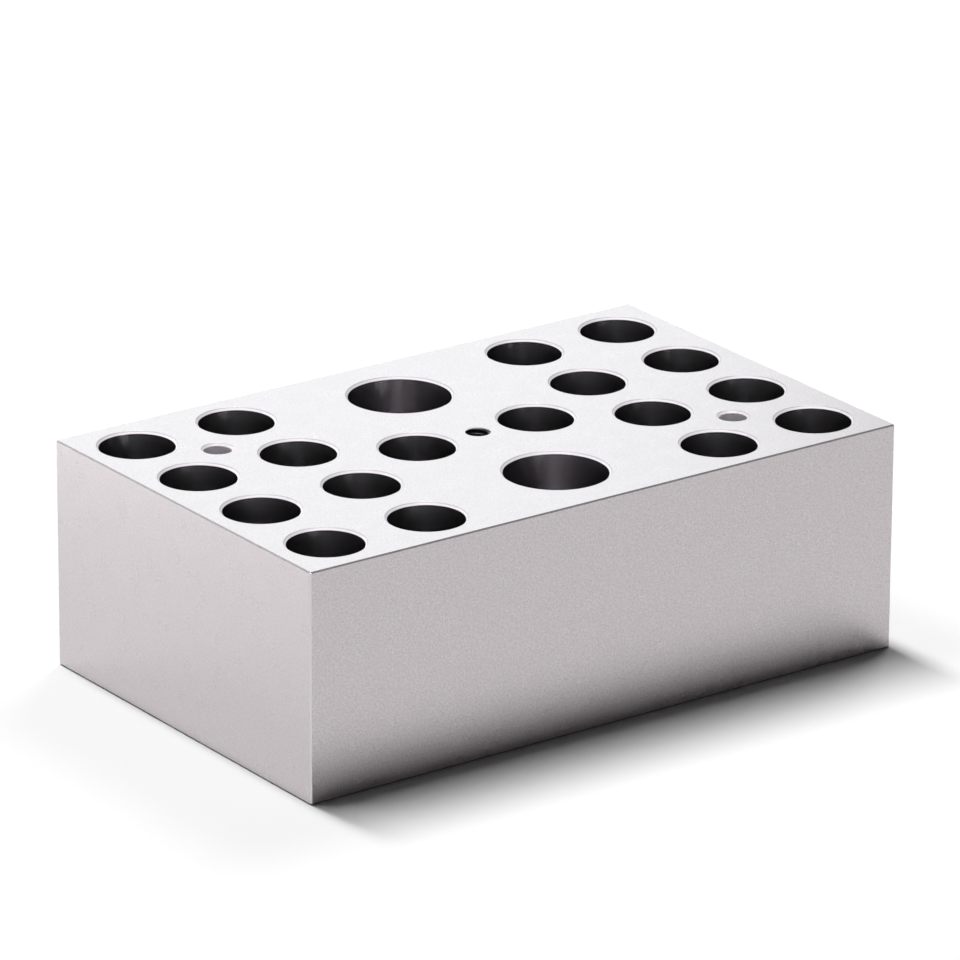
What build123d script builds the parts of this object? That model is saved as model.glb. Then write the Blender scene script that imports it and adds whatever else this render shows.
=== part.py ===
from build123d import *
import math
import os

# Heat block insert: one block of aluminium, machined all over and drilled from above to hold
# vials and tubes in a dry-block heater. Millimetres, +Z up, origin at the middle of the underside.
# X runs along the long side, and the pattern of holes is unchanged by half a turn about Z.

# Block
block_height = 50.5
side_margin = 12.25  # from the outermost well centres to the side faces
edge_break = 0.3  # small chamfer on every outer edge of the block

# Wells for 16 mm vials: a group of two columns and four rows towards each end of the block,
# and one more well on either side of the middle
vial_well_radius = 8.1
column_pitch = 25.0
row_pitch = 23.0
columns = 2
rows = 4
group_x = 50.0  # from the middle of the block to the middle of a group
middle_well_x = 15.3

# Wells for 22 mm tubes, one in front of the middle and one behind it
tube_well_radius = 11.1
tube_well_y = 28.0

# Depths are to the end of the straight wall, and the drill's point goes on below it
well_depth = 40.0
mouth_chamfer = 0.5  # at 45 degrees, round the mouth of every well and probe hole
drill_point_angle = 118.0

# Holes for a temperature probe, one in each group, midway between four wells
probe_hole_radius = 3.0
probe_hole_depth = 35.0

# Tapped hole in the middle for the handle that lifts the block out. Its upper part is as wide as
# the M6 thread's outer diameter, and below that is the 5 mm tapping drill's hole.
thread_radius = 3.0
thread_depth = 15.0
tapping_drill_radius = 2.5
tapping_drill_depth = 20.0

block_length = 2 * (group_x + column_pitch * (columns - 1) / 2 + side_margin)
block_width = 2 * (row_pitch * (rows - 1) / 2 + side_margin)
probe_hole_centres = [(-group_x, row_pitch), (group_x, -row_pitch)]


def drill_point(radius, depth):
    """Cut the cone that a twist drill leaves under a hole of this depth, at each current location."""
    cone_height = radius / math.tan(math.radians(drill_point_angle / 2))
    with Locations((0, 0, -depth)):
        Cone(
            bottom_radius=0,
            top_radius=radius,
            height=cone_height,
            align=(Align.CENTER, Align.CENTER, Align.MAX),
            mode=Mode.SUBTRACT,
        )


def drilled_hole(radius, depth):
    """Drill a hole with a chamfered mouth and a pointed end at each current location."""
    CounterSinkHole(radius, radius + mouth_chamfer, depth, counter_sink_angle=90)
    drill_point(radius, depth)


with BuildPart() as heat_block:
    with BuildSketch():
        Rectangle(block_length, block_width)
    extrude(amount=block_height)
    chamfer(heat_block.edges(), length=edge_break)

    with Locations(Plane.XY.offset(block_height)):
        with Locations((-group_x, 0), (group_x, 0)):
            with GridLocations(column_pitch, row_pitch, columns, rows):
                drilled_hole(vial_well_radius, well_depth)
        with Locations((-middle_well_x, 0), (middle_well_x, 0)):
            drilled_hole(vial_well_radius, well_depth)
        with Locations((0, -tube_well_y), (0, tube_well_y)):
            drilled_hole(tube_well_radius, well_depth)
        with Locations(*probe_hole_centres):
            drilled_hole(probe_hole_radius, probe_hole_depth)
        Hole(thread_radius, thread_depth)
        Hole(tapping_drill_radius, tapping_drill_depth)
        drill_point(tapping_drill_radius, tapping_drill_depth)

heat_block.part.label = "heat_block"

os.makedirs("parts", exist_ok=True)
export_step(heat_block.part, "parts/heat_block.step")
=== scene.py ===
import math

import bpy
import numpy as np
from mathutils import Matrix, Vector


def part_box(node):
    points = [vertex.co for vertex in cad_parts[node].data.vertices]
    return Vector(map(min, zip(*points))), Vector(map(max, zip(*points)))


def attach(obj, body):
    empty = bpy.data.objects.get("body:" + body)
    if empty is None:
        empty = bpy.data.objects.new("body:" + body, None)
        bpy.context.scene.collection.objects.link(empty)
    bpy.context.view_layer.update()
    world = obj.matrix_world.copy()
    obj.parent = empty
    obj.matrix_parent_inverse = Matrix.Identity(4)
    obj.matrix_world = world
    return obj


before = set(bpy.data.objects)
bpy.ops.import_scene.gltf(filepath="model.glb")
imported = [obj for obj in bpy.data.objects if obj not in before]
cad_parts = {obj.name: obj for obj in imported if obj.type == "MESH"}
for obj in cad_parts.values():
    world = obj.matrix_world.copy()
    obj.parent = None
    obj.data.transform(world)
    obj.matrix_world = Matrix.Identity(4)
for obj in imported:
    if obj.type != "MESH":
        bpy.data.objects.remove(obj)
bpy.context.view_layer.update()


# The view: a long lens, 21 degrees above the table and 36 degrees round from the front to the
# left, so that the block's front, its left end and all its holes are seen.
eye = Vector((-0.899249, -1.242819, 0.616895))
forward = Vector((0.549006, 0.758026, -0.352121)).normalized()
level_right = forward.cross(Vector((0, 0, 1))).normalized()
roll = math.radians(0.279)
right = level_right * math.cos(roll) + level_right.cross(forward) * math.sin(roll)
upward = right.cross(forward)

lens = bpy.data.cameras.new("bench_view")
lens.sensor_width = 36.0
lens.lens = 292.56
lens.clip_start = 0.05
lens.clip_end = 60.0
camera = bpy.data.objects.new("bench_view", lens)
turn = Matrix((right, upward, -forward)).transposed().to_4x4()
camera.matrix_world = Matrix.Translation(eye) @ turn
bpy.context.scene.collection.objects.link(camera)
bpy.context.scene.camera = camera


# The heat block: one piece of aluminium, milled, drilled from above, bead-blasted on the outside
# and clear anodised all over. The bores keep the rings that the cutter left. The mouths' chamfers
# and the broken outer edges are cut after the blasting, so their colours have no grain.
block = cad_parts["heat_block"]
block_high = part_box("heat_block")[1]
half_length, half_width, block_top = block_high.x, block_high.y, block_high.z

mouth_chamfer = 0.0005
edge_break = 0.0003
tapped_hole_radius = 0.003
probe_hole_x, probe_hole_y, probe_hole_radius = 0.050, 0.023, 0.003
tube_well_y, tube_well_radius = 0.028, 0.0111
blast_dent = 0.0004  # the beads' dents are about 0.1 mm wide, and are drawn this coarse to show
ream_step = 0.0004  # a cutter leaves finer rings, and they are drawn this coarse to show
sheen_patch = 0.005  # the blasted sheen varies a little, in patches of this width


def linear(hex_colour):
    """sRGB hex to the linear values that a shader takes."""
    parts = [int(hex_colour[i : i + 2], 16) / 255 for i in (1, 3, 5)]
    return tuple(p / 12.92 if p <= 0.04045 else ((p + 0.055) / 1.055) ** 2.4 for p in parts) + (1.0,)


def add_node(tree, kind, settings=(), links=(), values=()):
    """Adds a node with its settings, the links into it and its fixed values, and returns it."""
    node = tree.nodes.new(kind)
    for name, value in dict(settings).items():
        setattr(node, name, value)
    for socket, value in dict(values).items():
        node.inputs[socket].default_value = value
    for socket, source in dict(links).items():
        tree.links.new(source, node.inputs[socket])
    return node


def anodised_block():
    """Clear anodised aluminium, a silver with a very slight warmth. Its parts differ by how they were
    made: the outside has the soft, even sheen and the fine grain of bead blasting, the outer edges
    are smooth cuts, the mouths' chamfers are pale and dull ones, and the bores look nearly black,
    because their walls mirror one another down into the block. The tapped hole is also painted near
    black, and the upper and lower outer edges darker, as painted shade."""
    material = bpy.data.materials.new("bead_blasted_anodised_aluminium")
    material.use_nodes = True
    tree = material.node_tree
    shader = tree.nodes["Principled BSDF"]
    shader.inputs["Metallic"].default_value = 1.0
    place = add_node(tree, "ShaderNodeTexCoord").outputs["Object"]
    x, y, z = add_node(tree, "ShaderNodeSeparateXYZ", links={0: place}).outputs

    def calc(operation, *inputs):
        """One step of arithmetic on sockets and fixed values."""
        values = {i: v for i, v in enumerate(inputs) if isinstance(v, float)}
        links = {i: v for i, v in enumerate(inputs) if not isinstance(v, float)}
        return add_node(tree, "ShaderNodeMath", {"operation": operation}, links, values).outputs[0]

    def mix(factor, a, b, kind="FLOAT"):
        """a where the factor is 0, b where it is 1."""
        values = {k: v for k, v in (("A", a), ("B", b)) if isinstance(v, (float, tuple))}
        links = {k: v for k, v in (("A", a), ("B", b)) if not isinstance(v, (float, tuple))}
        node = add_node(tree, "ShaderNodeMix", {"data_type": kind}, {"Factor": factor})
        sockets = {s.name: s for s in node.inputs if s.enabled}
        for name, value in values.items():
            sockets[name].default_value = value
        for name, source in links.items():
            tree.links.new(source, sockets[name])
        return next(s for s in node.outputs if s.enabled)

    def distance(a, b):
        """How far a point lies from an upright axis, from its distances a and b along x and y."""
        return calc("SQRT", calc("ADD", calc("MULTIPLY", a, a), calc("MULTIPLY", b, b)))

    # How far in each point lies from the nearest end, side and level face. On a broken edge it is
    # less than the edge break from two of them.
    on_face = 0.00001  # what is this near to a face counts as on it
    from_end = calc("SUBTRACT", half_length, calc("ABSOLUTE", x))
    from_side = calc("SUBTRACT", half_width, calc("ABSOLUTE", y))
    from_top = calc("SUBTRACT", block_top, z)
    from_level = calc("MINIMUM", from_top, z)
    at_end, at_side, at_level = (
        calc("LESS_THAN", depth, edge_break - on_face) for depth in (from_end, from_side, from_level)
    )
    on_edge = calc("GREATER_THAN", calc("ADD", at_end, calc("ADD", at_side, at_level)), 1.5)
    on_upper_edge = calc("LESS_THAN", from_top, edge_break)
    on_lower_edge = calc("LESS_THAN", z, edge_break)
    on_long_side = calc("LESS_THAN", from_side, on_face)

    # Only the holes' walls lie further in than the inset and under the top: first the cut mouths,
    # whose upper rims are a little darker, then the bores. The tapped hole has no chamfer, only a
    # narrow bright lip.
    inset, lip_depth, rim_depth = 0.001, 0.00012, 0.00014
    inside = calc("GREATER_THAN", calc("MINIMUM", calc("MINIMUM", from_end, from_side), z), inset)
    in_hole = calc("MULTIPLY", inside, calc("GREATER_THAN", from_top, on_face))
    in_tapped_hole = calc("LESS_THAN", distance(x, y), tapped_hole_radius + mouth_chamfer)
    mouth_depth = mix(in_tapped_hole, mouth_chamfer + on_face, lip_depth)
    in_bore = calc("MULTIPLY", inside, calc("GREATER_THAN", from_top, mouth_depth))
    on_rim = calc("MULTIPLY", in_hole, calc("LESS_THAN", from_top, rim_depth))
    # The probe holes lie half a turn apart, so the sign of x puts both in one place.
    half = calc("SIGN", x)
    probe_x = calc("SUBTRACT", calc("MULTIPLY", x, half), probe_hole_x)
    probe_y = calc("ADD", calc("MULTIPLY", y, half), probe_hole_y)
    at_probe_hole = calc("LESS_THAN", distance(probe_x, probe_y), probe_hole_radius + mouth_chamfer)
    in_probe_hole = calc("MULTIPLY", in_bore, at_probe_hole)
    # The tube wells lie in front of the middle and behind it, as far from it.
    tube_y = calc("SUBTRACT", calc("ABSOLUTE", y), tube_well_y)
    in_tube_well = calc("LESS_THAN", distance(x, tube_y), tube_well_radius + mouth_chamfer)

    dents = add_node(
        tree, "ShaderNodeTexNoise", links={"Vector": place},
        values={"Scale": 1 / blast_dent, "Detail": 1.0, "Roughness": 0.5},
    ).outputs["Fac"]
    patches = add_node(
        tree, "ShaderNodeTexNoise", links={"Vector": place},
        values={"Scale": 1 / sheen_patch, "Detail": 3.0, "Roughness": 0.5},
    ).outputs["Fac"]
    # The wave is the sine of 20 times its scale times z, so this scale makes one ring a ream_step.
    rings = add_node(
        tree, "ShaderNodeTexWave", {"wave_type": "BANDS", "bands_direction": "Z", "wave_profile": "SIN"},
        {"Vector": place}, {"Scale": 2 * math.pi / 20 / ream_step},
    ).outputs["Fac"]

    # The long sides have a rougher cut under the blasting than the ends and the top, so more grain.
    fine = mix(dents, linear("#b0aaac"), linear("#cdc7c9"), "RGBA")
    coarse = mix(dents, linear("#a49ea0"), linear("#d5cfd1"), "RGBA")
    blasted_colour = mix(on_long_side, fine, coarse, "RGBA")
    # The upper edges are painted a duller grey, a painted shade that shows as a thin line round the
    # top face. The lower ones are painted darker still, a painted contact shadow where the block
    # meets the table.
    upright_and_painted_shade_colour = mix(on_lower_edge, linear("#d0cbcd"), linear("#5e5a5c"), "RGBA")
    edge_colour = mix(on_upper_edge, upright_and_painted_shade_colour, linear("#b2adaf"), "RGBA")
    outer_colour = mix(on_edge, blasted_colour, edge_colour, "RGBA")
    chamfer_colour = mix(on_rim, linear("#dedbde"), linear("#c4c0c3"), "RGBA")
    # The tube wells are a little paler than the vial wells. Of all the bores, the probe holes are the
    # palest, and the tapped hole is painted the darkest, a painted shade for its deep, narrow thread.
    well_colour = mix(in_tube_well, linear("#a9a7a9"), linear("#b7b4b7"), "RGBA")
    tapped_colour = mix(in_tapped_hole, well_colour, linear("#4e4a4d"), "RGBA")
    bore_colour = mix(in_probe_hole, tapped_colour, linear("#dad6da"), "RGBA")
    hole_colour = mix(in_bore, chamfer_colour, bore_colour, "RGBA")
    colour = mix(in_hole, outer_colour, hole_colour, "RGBA")
    tree.links.new(colour, shader.inputs["Base Color"])

    # How rough each cut is, from 0 for a mirror to 1 for chalk. The lower edges are the smoothest,
    # so they mirror the dark line where the block meets the table.
    reamed, tapped, drilled, chamfered, broken, broken_below = 0.17, 0.35, 0.50, 0.80, 0.32, 0.12
    blasted = add_node(
        tree, "ShaderNodeMapRange", links={"Value": patches},
        values={"From Min": 0.3, "From Max": 0.7, "To Min": 0.27, "To Max": 0.29},
    ).outputs["Result"]
    outer_rough = mix(on_edge, blasted, mix(on_lower_edge, broken, broken_below))
    bore_rough = mix(in_probe_hole, mix(in_tapped_hole, reamed, tapped), drilled)
    rough = mix(in_bore, mix(in_hole, outer_rough, chamfered), bore_rough)
    tree.links.new(rough, shader.inputs["Roughness"])

    dent_height, ring_height = 0.00004, 0.0000226
    dent_strength = mix(on_long_side, 0.15, 0.5)
    dented = add_node(
        tree, "ShaderNodeBump", links={"Height": dents, "Strength": dent_strength},
        values={"Distance": dent_height},
    ).outputs["Normal"]
    ringed = add_node(
        tree, "ShaderNodeBump", links={"Height": rings},
        values={"Strength": 1.0, "Distance": ring_height},
    ).outputs["Normal"]
    normal = mix(in_bore, dented, ringed, "VECTOR")
    tree.links.new(normal, shader.inputs["Normal"])
    return material


silver_block = anodised_block()
block.data.materials.clear()
block.data.materials.append(silver_block)


# The lifting thread: M6 coarse, cut by a tap into the middle hole from the top face down. It is
# part of the block's own metal, a 60 degree groove that winds down at 1 mm a turn.
thread_inner = 0.00246
thread_pitch = 0.001
thread_length = 0.015
thread_top = block_top - 0.000005  # just under the top face, so the two never share a plane


def internal_thread(outer, inner, pitch, length, top):
    """A closed sleeve whose inner wall is the thread. At angle a and height z the inner radius is a
    trapezium wave of (z - pitch * a / full turn): it is `inner` along the crests, `outer` along the
    roots, and straight flanks at 60 degrees join them. A crest is a quarter of the pitch wide. The
    back wall is a plain cylinder just outside `outer`, and flat rings close both ends."""
    columns, rows_a_turn, back_gap = 96, 16, 0.00002
    turns = np.linspace(0, 2 * np.pi, columns, endpoint=False)
    heights = np.linspace(-length, 0, rows_a_turn * round(length / pitch) + 1)
    a, z = np.meshgrid(turns, heights)
    phase = (z / pitch - a / (2 * np.pi)) % 1.0
    from_crest = np.abs(phase - 0.5) * pitch
    flank = (outer - inner) * math.tan(math.radians(30))
    wall = inner + (outer - inner) * np.clip((from_crest - pitch / 8) / flank, 0, 1)
    back = np.full((1, columns), outer + back_gap)
    radius = np.vstack([back, wall, back])
    level = np.vstack([z[:1], z, z[-1:]])
    angle = np.vstack([a[:1], a, a[:1]])
    points = np.stack([radius * np.cos(angle), radius * np.sin(angle), top + level], axis=-1)
    index = np.arange(radius.size).reshape(radius.shape)
    above = np.roll(index, -1, axis=0)
    faces = np.stack([index, above, np.roll(above, -1, axis=1), np.roll(index, -1, axis=1)], axis=-1)
    return points.reshape(-1, 3), faces.reshape(-1, 4)


points, faces = internal_thread(
    tapped_hole_radius, thread_inner, thread_pitch, thread_length, thread_top
)
thread_mesh = bpy.data.meshes.new("lifting_thread")
thread_mesh.from_pydata(points.tolist(), [], faces.tolist())
thread_mesh.update()
lifting_thread = bpy.data.objects.new("lifting_thread", thread_mesh)
bpy.context.scene.collection.objects.link(lifting_thread)
lifting_thread.data.materials.append(silver_block)
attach(lifting_thread, "root")


# The studio: a white table under one long softbox, high up and a little behind the block, with two
# weak ones beside it that open the shadow's ends. Four more are for the metal to mirror.
reach = 30.0
table_corners = [(-reach, -reach, 0), (reach, -reach, 0), (reach, reach, 0), (-reach, reach, 0)]
table_mesh = bpy.data.meshes.new("table")
table_mesh.from_pydata(table_corners, [], [(0, 1, 2, 3)])
table = bpy.data.objects.new("table", table_mesh)
bpy.context.scene.collection.objects.link(table)
white_table = bpy.data.materials.new("matt_white_board")
white_table.use_nodes = True
board = white_table.node_tree.nodes["Principled BSDF"]
board.inputs["Base Color"].default_value = linear("#fafafa")
board.inputs["Roughness"].default_value = 0.9
board.inputs["Specular IOR Level"].default_value = 0.0
table.data.materials.append(white_table)


def softbox(name, place, aim, width, depth, watts, colour="#ffffff"):
    """A rectangular lamp at a place, facing the aim point, that the camera doesn't see."""
    lamp = bpy.data.lights.new(name, "AREA")
    lamp.shape = "RECTANGLE"
    lamp.size, lamp.size_y = width, depth
    lamp.energy = watts
    lamp.color = linear(colour)[:3]
    holder = bpy.data.objects.new(name, lamp)
    facing = (Vector(aim) - Vector(place)).to_track_quat("-Z", "Y")
    holder.matrix_world = Matrix.Translation(Vector(place)) @ facing.to_matrix().to_4x4()
    holder.visible_camera = False
    bpy.context.scene.collection.objects.link(holder)
    return holder


# These three light the table, and the metal doesn't mirror them.
for lighting_box in (
    softbox("overhead_softbox", (-0.2, 2.9, 10.0), (0, 0, 0), 1.1, 4.9, 910.0),
    softbox("right_softbox", (4.0, 2.6, 6.67), (0, 0, 0), 2.3, 2.3, 100.0),
    softbox("left_softbox", (-2.6, 2.21, 7.12), (0, 0, 0), 2.3, 2.3, 88.0),
):
    lighting_box.visible_glossy = False

# The metal mirrors these four. They don't light the table, neither straight nor by way of the metal.
for mirrored_box in (
    softbox("back_softbox", (0.51, 1.41, 0.61), (-0.03, 0, 0.05), 1.2, 0.8, 2.6, "#f1feff"),
    softbox("end_softbox", (-0.27, 0.26, 0.065), (-0.075, 0, 0.03), 0.3, 0.12, 1.4),
    softbox("front_softbox", (-0.8, -1.45, 3.6), (0, 0, 0), 2.8, 2.8, 185.0),
    softbox("mirrored_overhead", (-0.2, 2.9, 10.0), (0, 0, 0), 1.7, 4.9, 50.0),
):
    mirrored_box.visible_diffuse = False
    mirrored_box.data.use_nodes = True
    shade = mirrored_box.data.node_tree
    bounces = add_node(shade, "ShaderNodeLightPath").outputs["Diffuse Depth"]
    direct = add_node(shade, "ShaderNodeMath", {"operation": "LESS_THAN"}, {0: bounces}, {1: 0.5})
    shade.links.new(direct.outputs[0], shade.nodes["Emission"].inputs["Strength"])

world = bpy.data.worlds.new("pale_studio")
bpy.context.scene.world = world
world.use_nodes = True
sky = world.node_tree
sky.nodes.clear()
sky_out = add_node(sky, "ShaderNodeOutputWorld")
rays = add_node(sky, "ShaderNodeLightPath").outputs
heading = add_node(sky, "ShaderNodeTexCoord").outputs["Generated"]
_, to_the_back, to_the_ceiling = add_node(sky, "ShaderNodeSeparateXYZ", links={0: heading}).outputs
# The metal mirrors white walls at the back and the sides, a duller room in front and a dark ceiling.
walls = add_node(
    sky, "ShaderNodeMapRange", {"interpolation_type": "SMOOTHSTEP"}, {"Value": to_the_back},
    {"From Min": -0.6, "From Max": 0.3, "To Min": 0.5, "To Max": 1.0},
).outputs["Result"]
ceiling = add_node(
    sky, "ShaderNodeMapRange", {"interpolation_type": "SMOOTHSTEP"}, {"Value": to_the_ceiling},
    {"From Min": 0.45, "From Max": 0.85, "To Min": 1.0, "To Max": 0.25},
).outputs["Result"]
room = add_node(sky, "ShaderNodeMath", {"operation": "MULTIPLY"}, {0: walls, 1: ceiling}).outputs[0]
white = add_node(sky, "ShaderNodeBackground", values={"Color": (1, 1, 1, 1), "Strength": 1.0})
mirrored = add_node(sky, "ShaderNodeBackground", links={"Strength": room}, values={"Color": (1, 1, 1, 1)})
ambient = add_node(sky, "ShaderNodeBackground", values={"Color": (1, 1, 1, 1), "Strength": 0.035})
# The camera sees white, a ray that the metal sends back sees the room, and the rest find a weak,
# even light.
mirror_ray = add_node(
    sky, "ShaderNodeMath", {"operation": "MAXIMUM"},
    {0: rays["Is Glossy Ray"], 1: rays["Is Transmission Ray"]},
)
before_table = add_node(
    sky, "ShaderNodeMath", {"operation": "LESS_THAN"}, {0: rays["Diffuse Depth"]}, {1: 0.5},
)
by_mirror = add_node(
    sky, "ShaderNodeMath", {"operation": "MULTIPLY"},
    {0: mirror_ray.outputs[0], 1: before_table.outputs[0]},
)
bounced = add_node(
    sky, "ShaderNodeMixShader",
    links={0: by_mirror.outputs[0], 1: ambient.outputs[0], 2: mirrored.outputs[0]},
)
seen = add_node(
    sky, "ShaderNodeMixShader",
    links={0: rays["Is Camera Ray"], 1: bounced.outputs[0], 2: white.outputs[0]},
)
sky.links.new(seen.outputs[0], sky_out.inputs["Surface"])

bpy.context.scene.view_settings.view_transform = "Standard"
